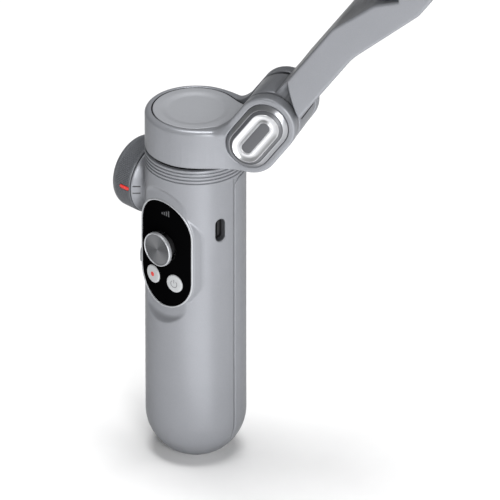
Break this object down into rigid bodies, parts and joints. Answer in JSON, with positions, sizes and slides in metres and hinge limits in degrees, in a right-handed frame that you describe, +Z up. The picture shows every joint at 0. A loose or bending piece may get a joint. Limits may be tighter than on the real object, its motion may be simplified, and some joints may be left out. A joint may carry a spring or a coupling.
{
  "type": "phone camera gimbal",
  "caption": "Hand-held three-axis phone gimbal: round grip with thumb stick and focus wheel, pan motor, folding arm, roll and tilt motors and a sprung clamp.",
  "frame": {"origin": "centre of the flat on the grip's foot, at the mouth of the tripod thread", "axes": "+Z up along the grip, -Y out of the control panel, -X out of the focus wheel"},
  "size_m": [0.1338, 0.0852, 0.276],
  "materials": {
    "shell_grey": "satin painted cool grey, fine metallic flake",
    "panel_black": "gloss black",
    "black_plastic": "matt black moulded",
    "dark_grey": "satin dark grey",
    "wheel_dark": "satin graphite, knurled",
    "chrome": "satin chrome",
    "stick_metal": "turned, radial brushing",
    "steel": "ground steel",
    "brass": "turned brass",
    "copper": "enamelled copper winding on a steel core",
    "magnet": "plated magnet ring",
    "board": "green solder mask",
    "cell": "shrink sleeve",
    "washer": "bearing plastic",
    "rubber": "ribbed rubber",
    "index_red": "red paint",
    "key_grey": "satin light grey"
  },
  "bodies": {
    "handle": {"front_shell": "shell_grey", "rear_cover": "shell_grey", "control_panel": "panel_black", "display_module": "panel_black", "usb_port": "steel", "tripod_insert": "brass", "battery_cell": "cell", "main_board": "board", "joystick_module": "black_plastic", "tact_switches": "black_plastic", "wheel_base": "shell_grey", "wheel_encoder": "black_plastic", "motor_base": "black_plastic", "motor_screws": "steel", "pan_stator": "copper", "pan_bearings": "steel"},
    "pan": {"pan_housing": "shell_grey", "pan_cover": "shell_grey", "pan_shaft": "steel", "pan_magnets": "magnet", "badge_ring": "chrome", "badge_dish": "chrome", "badge_insert": "dark_grey", "hinge_pin": "steel", "hinge_washers": "washer", "hinge_far_cap": "shell_grey"},
    "arm": {"arm_shell": "shell_grey", "arm_cover": "shell_grey", "arm_cover_screws": "steel", "roll_stator": "copper", "roll_bearings": "steel"},
    "roll": {"roll_rotor": "shell_grey", "roll_magnets": "magnet", "roll_shaft": "steel", "tilt_bracket": "shell_grey", "tilt_stator": "copper", "tilt_bearings": "steel"},
    "clamp": {"tilt_rotor": "shell_grey", "tilt_magnets": "magnet", "tilt_shaft": "steel", "clamp_body": "dark_grey", "fixed_jaw": "shell_grey", "fixed_jaw_pad": "rubber", "back_pad": "rubber"},
    "jaw": {"sliding_jaw": "shell_grey", "jaw_rods": "steel", "sliding_jaw_pad": "rubber", "clamp_spring": "steel"},
    "wheel": {"focus_wheel": "wheel_dark", "wheel_cap": "dark_grey", "wheel_index": "index_red", "wheel_shaft": "steel"},
    "stick_yoke": {"joystick_yoke": "steel"},
    "stick": {"joystick_stem": "black_plastic", "joystick_cap": "stick_metal"},
    "record_key": {"record_button": "key_grey"},
    "power_key": {"power_button": "key_grey"},
    "side_button": {"side_key": "shell_grey"}
  },
  "joints": [
    {"name": "pan_turn", "type": "hinge", "parent": "handle", "child": "pan", "pos_m": [0, 0, 0.145], "axis": [0, 0, 1], "range_deg": [-160, 160]},
    {"name": "arm_fold", "type": "hinge", "parent": "pan", "child": "arm", "pos_m": [0.0316, 0.01434, 0.1573], "axis": [-0.4131, 0.9107, 0], "range_deg": [-95, 0]},
    {"name": "roll_turn", "type": "hinge", "parent": "arm", "child": "roll", "pos_m": [0.08105, 0.03677, 0.241], "axis": [0.9107, 0.4131, 0], "range_deg": [-20, 95]},
    {"name": "tilt_turn", "type": "hinge", "parent": "roll", "child": "clamp", "pos_m": [0.04736, 0.02148, 0.241], "axis": [0, 0, -1], "range_deg": [-35, 45]},
    {"name": "jaw_slide", "type": "slide", "parent": "clamp", "child": "jaw", "axis": [-0.4131, 0.9107, 0], "range_m": [0, 0.028], "stiffness_N_per_m": 150, "springref_m": -0.02, "deforming": ["clamp_spring"]},
    {"name": "focus_turn", "type": "hinge", "parent": "handle", "child": "wheel", "pos_m": [-0.027, 0, 0.1124], "axis": [-1, 0, 0], "continuous": true},
    {"name": "stick_up_down", "type": "hinge", "parent": "handle", "child": "stick_yoke", "pos_m": [0, -0.013, 0.0966], "axis": [1, 0, 0], "range_deg": [-10, 10], "stiffness_Nm_per_rad": 0.03},
    {"name": "stick_left_right", "type": "hinge", "parent": "stick_yoke", "child": "stick", "pos_m": [0, -0.013, 0.0966], "axis": [0, 0, 1], "range_deg": [-10, 10], "stiffness_Nm_per_rad": 0.03},
    {"name": "record_press", "type": "slide", "parent": "handle", "child": "record_key", "axis": [0.1245, 0.9922, 0], "range_m": [0, 0.0005], "stiffness_N_per_m": 1500},
    {"name": "power_press", "type": "slide", "parent": "handle", "child": "power_key", "axis": [-0.1245, 0.9922, 0], "range_m": [0, 0.0005], "stiffness_N_per_m": 1500},
    {"name": "side_press", "type": "slide", "parent": "handle", "child": "side_button", "axis": [0.848, 0.5299, 0], "range_m": [0, 0.0006], "stiffness_N_per_m": 1500}
  ]
}
